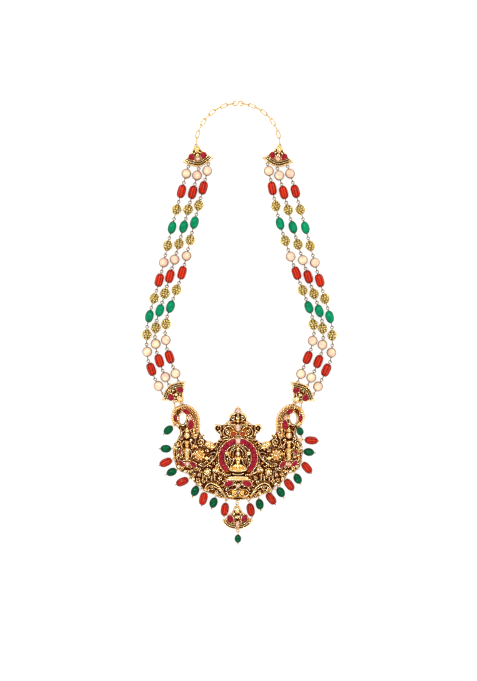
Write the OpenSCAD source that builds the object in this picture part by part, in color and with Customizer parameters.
// Temple necklace, laid flat with its front up.
// Three bead strands a side, five fan plates and a cast pendant with a fringe of bead drops.
// Millimetres. +Z is the front, +Y the back of the neck. The origin is on the pendant's flat
// back, at the middle of its ruby ring.

/* [Beads] */
// Diameter of a pearl
pearl_d = 6.1; // [4:0.1:8]
// Diameter of a coral drum bead
coral_d = 5.2; // [3:0.1:7]
// Length of a coral drum bead
coral_len = 7.9; // [5:0.1:11]
// Diameter of a granulated gold bead
gold_d = 5.3; // [3:0.1:7]
// Length of a granulated gold bead with its caps
gold_len = 6.6; // [4:0.1:9]
// Diameter of a green strand bead
green_d = 5.2; // [3:0.1:7]
// Length of a green strand bead
green_len = 7.8; // [5:0.1:11]
// Diameter of a drop bead
drop_d = 4.9; // [3:0.1:6]
// Length of a green drop bead
drop_green_len = 6.6; // [4:0.1:9]
// Length of a coral drop bead
drop_coral_len = 7.6; // [4:0.1:10]
// Diameter of a small green drop bead
drop_small_d = 4.2; // [3:0.1:5]
// Length of a small green drop bead
drop_small_len = 5; // [3:0.1:7]
// Height of the strands' centre line above the surface
strand_z = 3.1; // [2.6:0.1:5]
// Height of the drops' centre line above the surface
drop_z = 2.6; // [2.5:0.1:4]

/* [Wire and loops] */
// Radius of the pin wire
wire_r = 0.22; // [0.15:0.01:0.4]
// Radius of a loop to the middle of its wire
loop_r = 0.85; // [0.6:0.05:1.5]
// Distance between the middles of two linked loops
loop_step = 1.1; // [0.8:0.05:2]
// Clearance between a bead's bore and its pin
bore_gap = 0.12; // [0.05:0.01:0.3]

/* [Fan plates] */
// Radius of a fan plate from its tip to its bowed edge
fan_r = 12; // [9:0.1:16]
// Angle that a fan plate spans
fan_spread = 95; // [70:1:120]
// Thickness of a fan plate's base
fan_base = 2; // [1:0.1:3]
// Height of a fan plate's rim
fan_rim = 3.8; // [2:0.1:5]
// How much longer than the others the plate under the pendant is
drop_stretch = 1.13; // [1:0.01:1.3]

/* [Pendant] */
// Thickness of the pendant's cast base
base_t = 1.4; // [1:0.1:3]
// Radius of the ruby ring to the middle of its stones
ring_r = 10; // [8:0.1:12]
// Width of the ruby ring's stones
ring_stone_w = 2.6; // [1.5:0.1:4]
// Number of stones in the ruby ring, with the pale one at its top
ring_stones = 17; // [11:2:23]
// Angle left open at the bottom of the ruby ring
ring_open = 84; // [40:1:120]
// Clearance under and around a set stone
seat = 0.1; // [0.05:0.01:0.3]

/* [Back chain] */
// Length of a chain link
link_len = 5.35; // [4:0.05:8]
// Width of a chain link
link_w = 2.6; // [2:0.1:4]
// Diameter of the chain's wire
link_d = 0.6; // [0.4:0.05:1]
// Links on each side of the hook, an odd number
side_links = 9; // [5:2:15]
// Height of the chain's centre line above the surface
chain_z = 1.5; // [1.3:0.1:3]

/* [Hidden] */
round_n = 48;                // sides of exact round pieces
wire_n = 24;                 // sides of exact wires
cast_n = 8;                  // sides of large cast lumps and of the stones
fine_n = 6;                  // sides of small cast lumps
loop_wire = wire_r * 1.1;    // radius of a loop's wire
arm_r = wire_r * 1.5;        // radius of the arm that holds a soldered loop
loop_room = loop_r + 0.47;   // clear radius cut round the loops on a fan plate
cap_gap = 0.08;              // clear distance from a bead to the cap on its pin
cap_h = 0.2;                 // thickness of the cap
drop_neck = 1.15;            // from a drop bead's end to the middle of its loop
ball_r = 0.55;               // ball at a drop's outer end
link_gap = 0.1;              // clear distance between linked chain wires
hook_r = 1.4;                // radius of the hook's eyes
hook_wire_r = 0.4;
channel_z = 2.6;             // floor of the ruby channel
channel_wall = 0.8;
cast_z = 1.2;                // level that the cast lumps rise from
crest_row_y = 12.9;          // bead row under the crest
fan_seat = 2.4;              // floor under a fan plate's stones
collar_wall = 0.5;           // wall of a stone's collar
link_z = 1.6;                // height of the loops between plates

GOLD = [0.80, 0.62, 0.25];
RUBY = [0.70, 0.08, 0.25];
CORAL = [0.86, 0.20, 0.10];
GREEN = [0.02, 0.50, 0.32];
PEARL = [0.96, 0.88, 0.76];
CLEAR = [0.95, 0.90, 0.85];

// One strand from the end plate down to the connector plate.
UNITS = ["pearl", "coral", "gold", "green", "gold", "pearl", "coral",
         "gold", "green", "gold", "pearl", "coral", "pearl"];

// Fan plates: tip x, tip y, direction from the tip to the bowed edge.
LEFT_END = [-25, 186.6, -82];
RIGHT_END = [25, 186.6, -98];
LEFT_CONNECTOR = [-33.8, 33.9, 129];
RIGHT_CONNECTOR = [34, 33.6, 51];
FAN_DROP = [-0.6, -29.6, -88];

// Angles of a plate's three strand loops from the plate's own direction, an end plate's inner
// strand or a connector plate's outer one first, and how far each stands out past the seat radius.
LOOP_TURNS = [29, -1, -30];
LOOP_OUT = [0.5, 0.9, 0.4];
loop_seat_r = fan_r - 0.6;               // radius of the strand loops on a fan plate

// Middle points of each strand's route: x, y.
LEFT_OUTER = [[-31.2, 169.7], [-39.5, 138.5], [-47, 107], [-53.4, 85], [-54.8, 74],
              [-54.6, 63.5], [-52.6, 52.5], [-47.4, 43.4]];
LEFT_MIDDLE = [[-24.6, 169], [-32.5, 139], [-40.5, 110], [-46.5, 89.5], [-49.3, 80],
               [-49.7, 69.5], [-47.7, 58.5], [-43.6, 48.8]];
LEFT_INNER = [[-18.4, 171.5], [-26, 141.5], [-33.7, 110], [-40.8, 90], [-43.4, 80.5],
              [-43.5, 70.5], [-41.3, 60], [-37.2, 50.7]];
RIGHT_OUTER = [[31.6, 169.7], [40.6, 137], [49.3, 105], [55.6, 83], [56.5, 72.5], [56.2, 61.5],
               [53, 51.5], [47.6, 43]];
RIGHT_MIDDLE = [[24.8, 169], [32.8, 138.5], [42.2, 108], [49.1, 87.5], [50.8, 77.5],
                [50.9, 67.5], [48.6, 57.5], [43.8, 48.6]];
RIGHT_INNER = [[18.6, 171.5], [24.8, 141.5], [34.5, 112], [42, 91.5], [45.5, 80.5],
               [45, 70], [41.8, 59.5], [37.4, 50.5]];

// Drops: bead centre x, y, direction away from the pendant, bead kind, arm to the casting.
LEFT_DROPS = [
  [-41.8, 16.6, 222, "green", 1.4],
  [-43.3, 5.4, 180, "green", 1.6],
  [-43.3, -2.8, 205, "coral", 2.2],
  [-39.8, -8.6, 205, "green", 0.7],
  [-33.4, -14.4, 205, "coral", 2.2],
  [-25.8, -20, 245, "green", 1.8],
  [-20.8, -24.6, 255, "coral", 2],
  [-14.7, -27, 250, "green", 1.8],
  [-7.9, -31, 261, "coral", 1.8]
];
RIGHT_DROPS = [
  [37.3, 15.8, -76, "small", 1.4],
  [44, 10.4, -5, "coral", 2.4],
  [42.5, 3.4, -8, "green", 1.6],
  [41.3, -6, -50, "coral", 2.6],
  [35.8, -12.6, -62, "green", 2],
  [30.7, -16.2, -54, "coral", 2.2],
  [25.6, -20.7, -60, "green", 2],
  [19.8, -24.6, -53, "coral", 2.2],
  [13, -27.9, -80, "green", 2],
  [7.6, -31.2, -78, "coral", 2]
];

// Left half of the pendant's outline, from the bottom up the outside and over to the crest.
OUTLINE = [
  [0, -26], [-6, -24.8], [-10.8, -24.2], [-15, -22.1], [-19.2, -20.6], [-21.6, -17.9],
  [-25.2, -16.1], [-28.2, -12.8], [-30, -9.8], [-34.2, -8.6], [-37, -6], [-38.4, -1.4],
  [-39, 3.4], [-38.4, 8.4], [-36.2, 11.6], [-34.7, 14.2], [-34.9, 18], [-38.2, 20.8],
  [-39.7, 24.8], [-38.2, 29], [-35.4, 30.7], [-31.2, 30.8], [-27, 29.2], [-24, 25.6],
  [-22.6, 20.8], [-22.4, 15.4], [-21, 11.8], [-18.3, 9.6], [-15.6, 8.4], [-12.6, 9.2],
  [-10.8, 10.6], [-10.9, 14], [-13.4, 16], [-14, 18.6], [-12.4, 20], [-9.4, 19.4],
  [-7, 20.6], [-5.4, 22.2], [-5.2, 25], [-3.6, 26.3], [-1.6, 26.4], [-1.4, 28.8], [0, 30.4]
];

// Gaps cut through the left half of the casting: x, y, length, width, turn.
GAPS = [
  [-33.2, 23.4, 7.4, 4, 84], [-27.2, 12.4, 2.4, 1.2, 60], [-18.9, 4.4, 2.2, 1.2, 20],
  [-27.4, 5.2, 2.6, 1.2, 80], [-36.4, 5.4, 2.4, 1.1, 85], [-23.6, -6.6, 2.6, 1.3, 10],
  [-13.6, -13, 2.6, 1.3, 35], [-11.2, -19.2, 2.2, 1.2, -20], [-3.4, 21, 1.6, 1, 0]
];

// Raised lumps on the left half: x, y, half length, half width, top height, turn.
LUMPS = [
  [-23, 1.6, 4.1, 4.1, 4.6, 0],        // flower boss
  [-16.3, 6.3, 2.7, 2, 4.2, 35],       // leaf cup
  [-17.6, -9, 4.4, 3.2, 5, 15],        // elephant's body
  [-12.6, -6.6, 2.4, 2.1, 5.2, 40],    // elephant's head
  [-24.4, -10.4, 3.4, 2, 3.8, 30],     // leaf under the boss
  [-20.6, -16, 2.2, 1.6, 3.6, 30],
  [-14.6, -19.6, 2.2, 1.4, 3.6, -20],
  [-36.4, -2.6, 1.6, 2, 3.6, 0],
  [-36.4, 7.6, 1.6, 2, 3.6, 10],
  [-26, 14.6, 1.9, 3.6, 4, 10],
  [-8.8, 15.2, 1.8, 3, 4, -20],        // crest leaves
  [-4.6, 18.4, 2.6, 1.6, 4.6, 25],
  [-5.4, -15.4, 3.4, 2.4, 3.4, 20],    // seat of the petal rubies
  [-3.6, -21.4, 2.6, 2.2, 4.2, 20]     // mask's cheek
];

// Raised scrolls on the left half: x, y, radius, first angle, sweep, wire radius, height.
SCROLLS = [
  [-22.4, 9.4, 2.1, -60, 320, 0.62, 3.4],
  [-13.9, -1, 4.6, 100, 80, 0.5, 3.2],
  [-15.4, -3.6, 2, 150, 250, 0.5, 3.4],
  [-21, -4.8, 2, 0, 300, 0.5, 3.2],
  [-13.4, -18.8, 4, 20, 150, 0.5, 3.2],
  [-5, -21.9, 1.5, 90, 290, 0.4, 4.2],
  [-35.6, 10.6, 1.5, 60, 270, 0.45, 3],
  [-11.9, 17.6, 1.8, 90, 300, 0.5, 3.8],
  [-2.9, 24.3, 1.5, 80, 300, 0.5, 4]
];

// Rubies on the left half: x, y, half length, half width, turn, seat height.
RUBIES = [
  [-31, 27.4, 2.1, 1.3, -35, 2.4],
  [-28.3, 19.8, 3, 1.5, 84, 2.4],
  [-37.4, 23.8, 2, 0.95, 97, 2.4],
  [-34.8, 3.4, 1.2, 0.9, 80, 2.6],
  [-33.9, -3.5, 2.4, 1.2, -42, 2.4],
  [-26.9, -4, 2.4, 1.2, -42, 2.4],
  [-5.5, -15.5, 2.8, 1.7, 18, 3.5]
];
// Clear stones on the left half, in the same columns.
CLEARS = [
  [-29, 23.8, 1.2, 0.9, -60, 2.4],
  [-30.4, -3.8, 1.1, 1.1, 0, 2.4]
];
// Clear stones on the middle line, in the same columns.
MIDDLE_CLEARS = [
  [0, 28, 1.5, 1.4, 0, 2.6],
  [0, 18, 1.9, 1.4, 90, 4.2],
  [0, -16.8, 1.1, 1.1, 0, 3.4]
];
// Coral cabochons in the crest: x, y, half length, half width, turn, seat height.
CABOCHONS = [[-2.7, 14.2, 1.7, 1.4, -10, 3], [2.7, 14.2, 1.7, 1.4, 10, 3]];

// Stones of a fan plate in its own axes: x across, y from the tip, half length, half width, turn.
FAN_RUBIES = [[-3.6, 5.8, 2, 1.55, 60], [3.6, 5.8, 2, 1.55, -60]];
FAN_CLEAR = [0, 7.6, 1.2, 1.2, 0];
DROP_RUBIES = [[-4.2, 7, 2.3, 1.6, 62], [4.2, 7, 2.3, 1.6, -62]];
DROP_PEAR = [0, 10.6, 1.7, 1.2, 90];

// The seated figure: x, y, half length, half width, top height, turn.
DEITY = [
  [0, -2, 2.8, 3.8, 5.2, 0],           // chest and waist
  [0, 2.9, 1.9, 2, 5.8, 0],            // head
  [0, 5.2, 1.1, 1.7, 5, 0],            // crown
  [-3.2, -7.4, 2.9, 1.8, 5, -8],       // knees
  [3.2, -7.4, 2.9, 1.8, 5, 8],
  [-6.1, 2.6, 1.3, 1.6, 3.8, 20],      // lotus flowers
  [6.1, 2.6, 1.3, 1.6, 3.8, -20],
  [0, -10.8, 7, 1.7, 4.2, 0],          // lotus seat
  [0, -12.6, 5.4, 1.2, 3.6, 0],
  [0, -24.2, 3, 1.6, 3.8, 0],          // mask's chin
  [0, -19.6, 1.2, 2, 4.6, 0],          // mask's brow
  [0, 29.9, 0.7, 0.7, 3, 0],           // crest's top bead
  [0, 22, 1.5, 2.6, 4.4, 0]            // crest's middle leaf
];
// Left arms and half halo of the figure: x1, y1, x2, y2, radius, top height.
DEITY_RODS = [
  [-1.9, 0.4, -4.2, -1.2, 0.65, 4.6], [-4.2, -1.2, -5.4, 1.4, 0.55, 4.2],
  [-2, -0.4, -3.4, -3.6, 0.65, 4.8], [-3.4, -3.6, -1.6, -4.6, 0.55, 5],
  [-3.4, 2.2, -3.2, 4.6, 0.4, 3], [-3.2, 4.6, -1.8, 6.4, 0.4, 3], [-1.8, 6.4, 0, 7, 0.4, 3]
];
// The standing attendant, in the same columns as the seated figure.
ATTENDANT = [
  [-30.6, 13.2, 1.5, 1.8, 5.4, 0],     // head
  [-30.6, 15.8, 1, 1.7, 4.6, 0],       // crown
  [-30.6, 9.2, 2.2, 2.4, 5, 0],        // chest
  [-30.6, 3, 2, 4.6, 4.6, 0],          // skirt
  [-30.6, -1.4, 1.8, 0.8, 4, 0]        // feet
];
ATTENDANT_RODS = [
  [-32.4, 10.6, -33.8, 7.6, 0.55, 4.6], [-33.8, 7.6, -32.4, 5.6, 0.5, 4.8],
  [-28.8, 10.6, -27.8, 6.4, 0.55, 4.6]
];
// Vine stems, arches, the elephant's legs and trunk: x1, y1, x2, y2, radius, top height.
VINE_RODS = [
  [-13.2, 2.6, -17.8, -3.2, 0.5, 3.8], [-10.9, -6.8, -10.2, -9.4, 0.6, 4.4],
  [-15, -10.4, -15, -14, 0.8, 4.2], [-19.8, -10.4, -20.4, -13.8, 0.8, 4.2],
  [-17.8, -17.8, -15.8, -15.4, 0.5, 3.4], [-12, -17.4, -8.5, -21.8, 0.5, 3.4],
  [-10.6, 11.6, 0, 12.2, 0.6, 3.4], [-21.4, 10.6, -16.4, 8.8, 0.5, 2.8],
  [-37.8, 8, -38.3, 4.2, 0.5, 2.75], [-38.3, 3.9, -37.2, -5, 0.5, 2.7]
];
// The peacock's head, breast and comb, and its ribbed tail bands as scrolls.
PEACOCK = [
  [-36.6, 20.6, 1.6, 1.3, 4.6, 30], [-38.2, 21.4, 0.9, 0.6, 3.6, 30], [-31.6, 17.8, 2.4, 1.2, 4, 10],
  [-35.4, 29, 2.2, 0.9, 4, 20]
];
PEACOCK_BANDS = [
  [-32.6, 21.6, 8.7, -34, 120, 0.75, 4.4],
  [-34, 24.8, 5, 110, 95, 0.6, 4], [-32.8, 22, 6.8, -30, 110, 0.5, 3.6]
];
// Linked loops between a connector plate and the pendant, for the right-hand pair:
// x, y, arm to the casting.
CONNECTOR_JOINTS = [[38, 32.7, 3], [33.8, 32.3, 1.6]];

// Functions

function bead_len(kind) =
  kind == "pearl" ? pearl_d : kind == "coral" ? coral_len : kind == "gold" ? gold_len : green_len;
function sum(list, n) = n <= 0 ? 0 : list[n - 1] + sum(list, n - 1);
function polar(origin, r, a) = [origin[0] + r * cos(a), origin[1] + r * sin(a)];

// A smooth curve through points a, b, c, d between b and c.
function between(a, b, c, d, t) =
  0.5 * (2 * b + (c - a) * t + (2 * a - 5 * b + 4 * c - d) * t * t
         + (3 * b - a - 3 * c + d) * t * t * t);
function smooth(points, steps) = let(last = len(points) - 1) [
  for (i = [0 : last - 1], k = [0 : steps - 1])
    between(points[max(i - 1, 0)], points[i], points[i + 1], points[min(i + 2, last)], k / steps),
  points[last]
];
function run(points) = [for (i = [0 : len(points) - 2]) norm(points[i + 1] - points[i])];
// Running length of a path at each of its points.
function lengths(steps, i = 0, total = 0) =
  i > len(steps) ? [] : concat([total], lengths(steps, i + 1, total + (i < len(steps) ? steps[i] : 0)));
function at_length(points, along, s) = let(
    i = max([for (k = [0 : len(points) - 2]) along[k] <= s ? k : 0]),
    t = (s - along[i]) / (along[i + 1] - along[i]))
  points[i] + (points[i + 1] - points[i]) * t;

// The point where a strand begins on a plate, past the plate's loop.
function plate_joint(plate, side, place) =
  polar(plate, loop_seat_r + LOOP_OUT[place] + loop_step / 2, plate[2] + side * LOOP_TURNS[place]);
function route(first, middle, last, side, place) =
  smooth(concat([plate_joint(first, side, place)], middle, [plate_joint(last, side, 2 - place)]), 12);
// Joints of a strand, spread so that the wire between beads is the same all along it.
function joints(path) = let(
    along = lengths(run(path)),
    total = along[len(path) - 1],
    spare = (total - sum([for (u = UNITS) bead_len(u)], len(UNITS))) / len(UNITS),
    steps = [for (u = UNITS) bead_len(u) + spare])
  [for (k = [0 : len(UNITS)]) at_length(path, along, min(sum(steps, k), total - 0.001))];

STRANDS = [
  joints(route(LEFT_END, LEFT_OUTER, LEFT_CONNECTOR, 1, 2)),
  joints(route(LEFT_END, LEFT_MIDDLE, LEFT_CONNECTOR, 1, 1)),
  joints(route(LEFT_END, LEFT_INNER, LEFT_CONNECTOR, 1, 0)),
  joints(route(RIGHT_END, RIGHT_OUTER, RIGHT_CONNECTOR, -1, 2)),
  joints(route(RIGHT_END, RIGHT_MIDDLE, RIGHT_CONNECTOR, -1, 1)),
  joints(route(RIGHT_END, RIGHT_INNER, RIGHT_CONNECTOR, -1, 0))
];

// Wires and beads

// A closed ring in the XY plane.
module wire_ring(r, wire) {
  rotate_extrude($fn = round_n) translate([r, 0]) circle(r = wire, $fn = wire_n);
}

// A drum bead along X with rounded shoulders.
module drum(length, d) {
  rotate([0, 90, 0]) rotate_extrude($fn = round_n) polygon([
    [0, -length / 2], [d * 0.26, -length / 2], [d * 0.40, -length * 0.44], [d * 0.48, -length * 0.28],
    [d / 2, 0], [d * 0.48, length * 0.28], [d * 0.40, length * 0.44], [d * 0.26, length / 2],
    [0, length / 2]
  ]);
}

module drilled(length) {
  difference() {
    children();
    rotate([0, 90, 0]) cylinder(r = wire_r + bore_gap, h = length + 2, center = true, $fn = wire_n);
  }
}

module bead(kind) {
  if (kind == "pearl") drilled(pearl_d) rotate([0, 90, 0]) sphere(d = pearl_d, $fn = round_n);
  if (kind == "coral") drilled(coral_len) drum(coral_len, coral_d);
  if (kind == "green") drilled(green_len) drum(green_len, green_d);
}

// The gold bead's body with a cap at each end.
module gold_bead() {
  rotate([0, 90, 0]) rotate_extrude($fn = round_n) polygon([
    [0, -gold_len / 2], [0.8, -gold_len / 2], [1.1, -gold_len * 0.42], [gold_d * 0.36, -gold_len * 0.34],
    [gold_d * 0.48, -gold_len * 0.14], [gold_d / 2, 0], [gold_d * 0.48, gold_len * 0.14],
    [gold_d * 0.36, gold_len * 0.34], [1.1, gold_len * 0.42], [0.8, gold_len / 2], [0, gold_len / 2]
  ]);
}

// A pin of the given length between its joints, with a loop at each end, the second one upright.
module eye_pin(length, kind) {
  reach = length / 2 - loop_step / 2;
  cap_x = bead_len(kind) / 2 + cap_gap + cap_h / 2;
  rotate([0, 90, 0]) cylinder(r = wire_r, h = 2 * (reach - loop_r), center = true, $fn = wire_n);
  for (side = [-1, 1]) {
    translate([side * reach, 0, 0]) rotate([side > 0 ? 90 : 0, 0, 0]) wire_ring(loop_r, loop_wire);
    if (kind != "gold") translate([side * cap_x, 0, 0]) rotate([0, 90, 0])
      cylinder(r = loop_r * 0.55, h = cap_h, center = true, $fn = wire_n);
  }
  if (kind == "gold") gold_bead();
}

// Places its children, made along X, from one joint of a strand to the next.
module at_unit(strand, k) {
  a = STRANDS[strand][k];
  b = STRANDS[strand][k + 1];
  translate([(a[0] + b[0]) / 2, (a[1] + b[1]) / 2, strand_z])
    rotate(atan2(b[1] - a[1], b[0] - a[0])) children();
}

module strand_pins(strand) {
  color(GOLD) for (k = [0 : len(UNITS) - 1])
    at_unit(strand, k) eye_pin(norm(STRANDS[strand][k + 1] - STRANDS[strand][k]), UNITS[k]);
}

module strand_beads(first, kind) {
  for (strand = [first : first + 2], k = [0 : len(UNITS) - 1]) if (UNITS[k] == kind)
    at_unit(strand, k) bead(kind);
}

// A soldered loop that points its far side along an angle, with an arm back into the casting.
module body_loop(x, y, z, angle, upright, arm) {
  translate([x, y, z]) rotate(angle) {
    rotate([upright ? 90 : 0, 0, 0]) wire_ring(loop_r, loop_wire);
    translate([-loop_r - arm, 0, 0]) rotate([0, 90, 0]) cylinder(r = arm_r, h = arm, $fn = wire_n);
  }
}

module both_sides() {
  children();
  mirror([1, 0, 0]) children();
}

// Stones

// A faceted stone with a table, its girdle on the seat.
module cut_stone(half_len, half_w, height = 1.1) {
  scale([half_len, half_w, 1]) rotate(180 / cast_n) {
    cylinder(r = 1, h = height * 0.45, $fn = cast_n);
    translate([0, 0, height * 0.45]) cylinder(r1 = 1, r2 = 0.6, h = height * 0.55, $fn = cast_n);
  }
}

// The stones of a table, each just clear of its seat.
module stones(table) {
  for (s = table) translate([s[0], s[1], s[5] + seat]) rotate(s[4]) cut_stone(s[2], s[3]);
}

ring_step = (360 - ring_open) / ring_stones;
module ring_stone(k) {
  rotate(ring_open / 2 - 90 + ring_step * (k + 0.5)) translate([ring_r, 0, channel_z + seat])
    cut_stone(ring_stone_w / 2, ring_r * PI * ring_step / 360 - 0.06);
}

module ring_rubies() {
  color(RUBY) for (k = [0 : ring_stones - 1]) if (k != (ring_stones - 1) / 2) ring_stone(k);
}

module pendant_rubies() {
  color(RUBY) both_sides() stones(RUBIES);
}

module pendant_clear_stones() {
  color(CLEAR) {
    both_sides() stones(CLEARS);
    stones(MIDDLE_CLEARS);
    ring_stone((ring_stones - 1) / 2);
  }
}

module coral_cabochons() {
  color(CORAL) for (s = CABOCHONS) translate([s[0], s[1], s[5] + seat]) rotate(s[4])
    intersection() {
      scale([s[2], s[3], 1.4]) sphere(r = 1, $fn = 12);
      translate([-3, -3, 0]) cube([6, 6, 3]);
    }
}

// Fan plates

module at_plate(plate) {
  translate([plate[0], plate[1], 0]) rotate(plate[2] - 90) children();
}

// A ring sector about the tip, between two radii.
module fan_band(inner, outer, spread, height) {
  rotate(90 - spread / 2) rotate_extrude(angle = spread, $fn = 96)
    translate([inner, 0]) square([outer - inner, height]);
}

module collar(s, height) {
  translate([s[0], s[1], 0]) rotate(s[4]) scale([s[2] + collar_wall, s[3] + collar_wall, 1])
    cylinder(r = 1, h = height, $fn = wire_n);
}

// Bored where a stone sits.
module stone_well(s, floor_z) {
  translate([s[0], s[1], floor_z]) rotate(s[4]) scale([s[2] + seat, s[3] + seat, 1])
    cylinder(r = 1, h = 5, $fn = wire_n);
}

module fan_body(stone_list, stretch = 1) {
  difference() {
    union() {
      scale([1, stretch, 1]) fan_plain();
      for (s = stone_list) collar(s, 3.3);
    }
    for (s = stone_list) stone_well(s, fan_seat);
  }
}

module fan_plain() {
  fan_band(0.6, fan_r - 0.1, fan_spread, fan_base);
  translate([0, 0.6, 0]) cylinder(r = 1.1, h = 3.2, $fn = wire_n);
  fan_band(fan_r - 2.1, fan_r - 0.6, fan_spread - 3, fan_rim);
  fan_band(fan_r - 3.3, fan_r - 2.6, fan_spread - 12, fan_rim - 0.6);
  for (side = [-1, 1]) rotate(side * (fan_spread / 2 - 3))
    translate([-0.5, 1, 0]) cube([1, fan_r - 2, fan_rim - 0.7]);
  for (k = [-4 : 4]) rotate(k * (fan_spread - 8) / 8) translate([0, fan_r - 0.5, 0])
    cylinder(r = 0.9, h = fan_base + 0.7, $fn = wire_n);
  translate([0, 3.4, 0]) cylinder(r = 1.1, h = 3.4, $fn = wire_n);
}

function tips(list) = [for (s = list) [s[0], s[1], s[2], s[3], s[4], fan_seat]];
PLATE_STONES = concat(FAN_RUBIES, [FAN_CLEAR]);
DROP_STONES = concat(DROP_RUBIES, [DROP_PEAR]);
drop_reach = fan_r * drop_stretch;       // from the tip of the plate under the pendant to its edge

// A plate that holds three strands. side mirrors the loops for the right of the necklace.
module strand_plate(plate, side, upright, stone_list) {
  color(GOLD) at_plate(plate) {
    difference() {
      fan_body(stone_list);
      for (i = [0 : 2]) rotate(LOOP_TURNS[i] * side)
        translate([0, loop_seat_r + LOOP_OUT[i] + 0.9, -1]) cylinder(r = loop_room, h = 8, $fn = wire_n);
    }
    for (i = [0 : 2]) rotate(LOOP_TURNS[i] * side)
      body_loop(0, loop_seat_r + LOOP_OUT[i], strand_z, 90, upright, 0.3 + LOOP_OUT[i]);
  }
}

module end_plate(plate, side) {
  strand_plate(plate, side, true, PLATE_STONES);
  color(GOLD) at_plate(plate) body_loop(0, -0.9, chain_z, -90, false, 0.6);
}

module connector_plate(plate, side) {
  strand_plate(plate, side, false, FAN_RUBIES);
  color(GOLD) for (j = CONNECTOR_JOINTS)
    body_loop(-j[0] * side, j[1] + loop_step / 2, link_z, -90, false, 1);
}

module plate_stones(plate, list) {
  at_plate(plate) stones(tips(list));
}

module left_end_plate() { end_plate(LEFT_END, 1); }
module right_end_plate() { end_plate(RIGHT_END, -1); }
module left_connector_plate() { connector_plate(LEFT_CONNECTOR, 1); }
module right_connector_plate() { connector_plate(RIGHT_CONNECTOR, -1); }

module end_plate_stones() {
  for (plate = [LEFT_END, RIGHT_END]) {
    color(RUBY) plate_stones(plate, FAN_RUBIES);
    color(CLEAR) plate_stones(plate, [FAN_CLEAR]);
  }
}

module connector_rubies() {
  color(RUBY) for (plate = [LEFT_CONNECTOR, RIGHT_CONNECTOR]) plate_stones(plate, FAN_RUBIES);
}

module fan_drop() {
  color(GOLD) at_plate(FAN_DROP) {
    fan_body(DROP_STONES, drop_stretch);
    body_loop(0, -0.9, link_z, -90, true, 0.6);
    body_loop(0, drop_reach + 0.7, drop_z, 90, false, 0.5);
  }
}

module fan_drop_stones() {
  color(RUBY) plate_stones(FAN_DROP, DROP_RUBIES);
  color(CLEAR) plate_stones(FAN_DROP, [DROP_PEAR]);
}

// Drops

function drop_len(kind) =
  kind == "coral" ? drop_coral_len : kind == "small" ? drop_small_len : drop_green_len;
function drop_width(kind) = kind == "small" ? drop_small_d : drop_d;
BOTTOM_DROP = [FAN_DROP[0] + 0.55, FAN_DROP[1] - drop_reach - 0.7 - loop_step - drop_neck - drop_small_len / 2,
               -90, "small", 0];
DROPS = concat(LEFT_DROPS, RIGHT_DROPS, [BOTTOM_DROP]);
function drop_loop_x(kind) = -drop_len(kind) / 2 - drop_neck;

module at_drop(drop) {
  translate([drop[0], drop[1], drop_z]) rotate(drop[2]) children();
}

// A pin with an upright loop, a cap and a ball at its outer end.
module drop_pin(kind) {
  half = drop_len(kind) / 2;
  start = drop_loop_x(kind) + loop_r - wire_r;
  ball_x = half + cap_gap + ball_r;
  translate([drop_loop_x(kind), 0, 0]) rotate([90, 0, 0]) wire_ring(loop_r, loop_wire);
  translate([start, 0, 0]) rotate([0, 90, 0]) cylinder(r = wire_r, h = ball_x - start, $fn = wire_n);
  translate([-half - cap_gap - cap_h, 0, 0]) rotate([0, 90, 0])
    cylinder(r = loop_r * 0.8, h = cap_h, $fn = wire_n);
  translate([ball_x, 0, 0]) sphere(r = ball_r, $fn = wire_n);
}

module drop_pins(list) {
  color(GOLD) for (drop = list) at_drop(drop) drop_pin(drop[3]);
}

module drop_beads(kind) {
  for (drop = DROPS) if (drop[3] == kind)
    at_drop(drop) drilled(drop_len(kind)) drum(drop_len(kind), drop_width(kind));
}

module left_drop_pins() { drop_pins(concat(LEFT_DROPS, [BOTTOM_DROP])); }
module right_drop_pins() { drop_pins(RIGHT_DROPS); }
module drop_coral_beads() { color(CORAL) drop_beads("coral"); }
module drop_green_beads() {
  color(GREEN) {
    drop_beads("green");
    drop_beads("small");
  }
}

// Pendant

// A cast lump on the base with its top at the given height.
module lump(x, y, half_len, half_w, top, turn) {
  translate([x, y, cast_z]) rotate(turn) scale([half_len, half_w, top - cast_z])
    rotate_extrude($fn = half_w > 1.7 ? cast_n : fine_n)
      polygon([[0, 0], [1, 0], [0.84, 0.62], [0, 1]]);
}

module lumps(table) {
  for (l = table) lump(l[0], l[1], l[2], l[3], l[4], l[5]);
}

// A cast rod between two points of the face, with a top at the given height.
module rod(x1, y1, x2, y2, r, top) {
  hull() for (p = [[x1, y1], [x2, y2]])
    translate([p[0], p[1], cast_z]) cylinder(r1 = r * 1.2, r2 = r * 0.5, h = top - cast_z, $fn = 4);
}

module rods(table) {
  for (t = table) rod(t[0], t[1], t[2], t[3], t[4], t[5]);
}

module scroll(x, y, r, first, sweep, wire, top) {
  translate([x, y, 0]) rotate(first) rotate_extrude(angle = sweep, $fn = r > 3 ? 16 : 8)
    translate([r, 0]) polygon([[-wire * 1.3, 1], [wire * 1.3, 1], [0, top]]);
}

module ring_wall(inner, outer, height) {
  rotate(ring_open / 2 - 90 - 2) rotate_extrude(angle = 364 - ring_open, $fn = 30)
    translate([inner, 0]) square([outer - inner, height]);
}

module ruby_channel() {
  inner = ring_r - ring_stone_w / 2 - seat;
  outer = ring_r + ring_stone_w / 2 + seat;
  ring_wall(inner - channel_wall, outer + channel_wall, channel_z);
  ring_wall(outer, outer + channel_wall, channel_z + 1);
  ring_wall(inner - channel_wall, inner, channel_z + 0.8);
}

module gap(g) {
  translate([g[0], g[1], -1]) rotate(g[4]) scale([g[2] / 2, g[3] / 2, 1])
    cylinder(r = 1, h = 9, $fn = g[2] > 5 ? 14 : 6);
}

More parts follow.
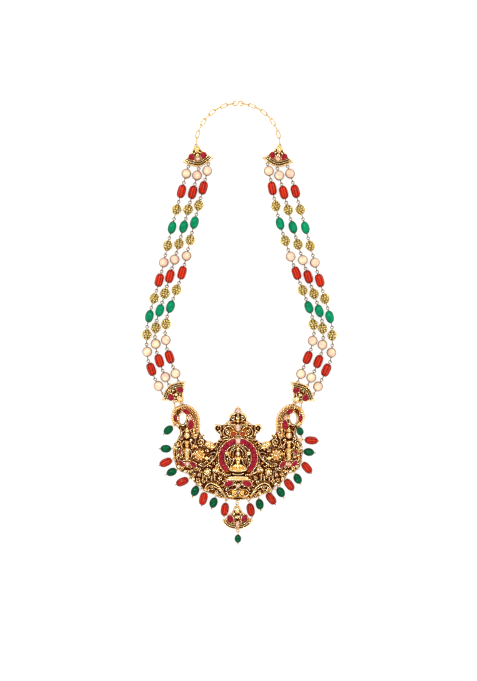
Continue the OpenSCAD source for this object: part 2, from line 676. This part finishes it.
module base_plate() {
  difference() {
    linear_extrude(base_t) union() {
      polygon(OUTLINE);
      mirror([1, 0]) polygon(OUTLINE);
    }
    both_sides() for (g = GAPS) gap(g);
  }
}

// Collars and wells of the casting have as many sides as their stones.
module seats(table) {
  for (s = table) translate([s[0], s[1], 1]) rotate(s[4]) scale([s[2] + collar_wall, s[3] + collar_wall, 1])
    rotate(180 / cast_n) cylinder(r = 1, h = s[5] - 0.6, $fn = cast_n);
}

module wells(table) {
  for (s = table) translate([s[0], s[1], s[5]]) rotate(s[4]) scale([s[2] + seat, s[3] + seat, 1])
    rotate(180 / cast_n) cylinder(r = 1, h = 5, $fn = cast_n);
}

module pendant_cast() {
  difference() {
    union() {
      base_plate();
      ruby_channel();
      both_sides() {
        lumps(LUMPS);
        lumps(PEACOCK);
        lumps(ATTENDANT);
        rods(ATTENDANT_RODS);
        rods(VINE_RODS);
        rods(DEITY_RODS);
        for (s = SCROLLS) scroll(s[0], s[1], s[2], s[3], s[4], s[5], s[6]);
        for (s = PEACOCK_BANDS) scroll(s[0], s[1], s[2], s[3], s[4], s[5], s[6]);
        seats(RUBIES);
        seats(CLEARS);
      }
      lumps(DEITY);
      seats(MIDDLE_CLEARS);
      seats(CABOCHONS);
      for (k = [-4 : 4]) lump(k * 2.1, crest_row_y, 0.9, 0.8, 3.8, 0);
    }
    both_sides() {
      gap(GAPS[0]);
      wells(concat(RUBIES, CLEARS));
    }
    wells(concat(MIDDLE_CLEARS, CABOCHONS));
    for (drop = concat(LEFT_DROPS, RIGHT_DROPS)) at_drop(drop) drop_room(drop_loop_x(drop[3]));
  }
}

// Clears the relief, down to the base, round a drop's loop and cap.
module drop_room(x) {
  translate([x - 1.25, -0.8, base_t - drop_z]) cube([2.5, 1.6, 8]);
}

module pendant_frame() {
  color(GOLD) {
    pendant_cast();
    for (drop = concat(LEFT_DROPS, RIGHT_DROPS)) at_drop_loop(drop);
    for (side = [-1, 1], j = CONNECTOR_JOINTS)
      cast_loop(j[0] * side, j[1] - loop_step / 2, link_z, 90, true, j[2]);
    cast_loop(FAN_DROP[0], FAN_DROP[1] + 0.9 + loop_step, link_z, -90, false, 1.4);
  }
}

// A loop of the casting, with few sides like the rest of it.
module cast_loop(x, y, z, angle, upright, arm) {
  translate([x, y, z]) rotate(angle) {
    rotate([upright ? 90 : 0, 0, 0]) rotate(22.5) rotate_extrude($fn = 8)
      translate([loop_r, 0]) circle(r = wire_r * 1.2, $fn = 4);
    translate([-loop_r - arm, -0.35, 0.7 - z]) cube([arm + 0.15, 0.7, z - 0.6]);
  }
}

module at_drop_loop(drop) {
  p = polar([drop[0], drop[1]], drop_loop_x(drop[3]) - loop_step, drop[2]);
  cast_loop(p[0], p[1], drop_z, drop[2], false, drop[4]);
}

// Back chain, an arc between the end plates' tip loops

ARC_START = polar([LEFT_END[0], LEFT_END[1]], -0.9, LEFT_END[2]);
arc_r = -ARC_START[0];
link_end = link_len / 2 - link_d / 2;                      // from a link's middle to its end wire
first_link = loop_r - wire_r * 1.1 - link_d / 2 - link_gap + link_end;
hook_reach = hook_r + hook_wire_r / 2;                      // from the hook's middle to its eyes'
last_link = arc_r * PI / 2 - hook_reach - hook_r + hook_wire_r + link_d / 2 + link_gap - link_end;
link_pitch = (last_link - first_link) / (side_links - 1);

module on_arc(s) {
  a = 180 - s / arc_r * 180 / PI;
  translate([arc_r * cos(a), ARC_START[1] + arc_r * sin(a), chain_z]) rotate(a - 90) children();
}

module chain_link(upright) {
  bend = (link_w - link_d) / 2;
  straight = link_len / 2 - link_w / 2;
  rotate([upright ? 90 : 0, 0, 0]) for (turn = [0, 180]) rotate(turn) {
    translate([straight, 0, 0]) rotate(-90) rotate_extrude(angle = 180, $fn = round_n)
      translate([bend, 0]) circle(d = link_d, $fn = wire_n);
    translate([-straight, bend, 0]) rotate([0, 90, 0])
      cylinder(d = link_d, h = 2 * straight, $fn = wire_n);
  }
}

module chain_links(upright) {
  color(GOLD) both_sides() for (k = [upright ? 0 : 1 : 2 : side_links - 1])
    on_arc(first_link + k * link_pitch) chain_link(upright);
}

module back_chain_upright_links() { chain_links(true); }
module back_chain_flat_links() { chain_links(false); }

// An S of two open eyes.
module back_hook() {
  color(GOLD) on_arc(arc_r * PI / 2) for (turn = [0, 180]) rotate(turn)
    translate([hook_reach, 0, 0]) rotate(-115) rotate_extrude(angle = 295, $fn = round_n)
      translate([hook_r, 0]) circle(r = hook_wire_r, $fn = wire_n);
}

// Strands

module left_outer_pins() { strand_pins(0); }
module left_middle_pins() { strand_pins(1); }
module left_inner_pins() { strand_pins(2); }
module right_outer_pins() { strand_pins(3); }
module right_middle_pins() { strand_pins(4); }
module right_inner_pins() { strand_pins(5); }
module left_pearls() { color(PEARL) strand_beads(0, "pearl"); }
module left_coral_beads() { color(CORAL) strand_beads(0, "coral"); }
module left_green_beads() { color(GREEN) strand_beads(0, "green"); }
module right_pearls() { color(PEARL) strand_beads(3, "pearl"); }
module right_coral_beads() { color(CORAL) strand_beads(3, "coral"); }
module right_green_beads() { color(GREEN) strand_beads(3, "green"); }

pendant_frame();
ring_rubies();
pendant_rubies();
pendant_clear_stones();
coral_cabochons();
left_end_plate();
right_end_plate();
end_plate_stones();
left_connector_plate();
right_connector_plate();
connector_rubies();
fan_drop();
fan_drop_stones();
left_outer_pins();
left_middle_pins();
left_inner_pins();
right_outer_pins();
right_middle_pins();
right_inner_pins();
left_pearls();
left_coral_beads();
left_green_beads();
right_pearls();
right_coral_beads();
right_green_beads();
left_drop_pins();
right_drop_pins();
drop_coral_beads();
drop_green_beads();
back_chain_upright_links();
back_chain_flat_links();
back_hook();
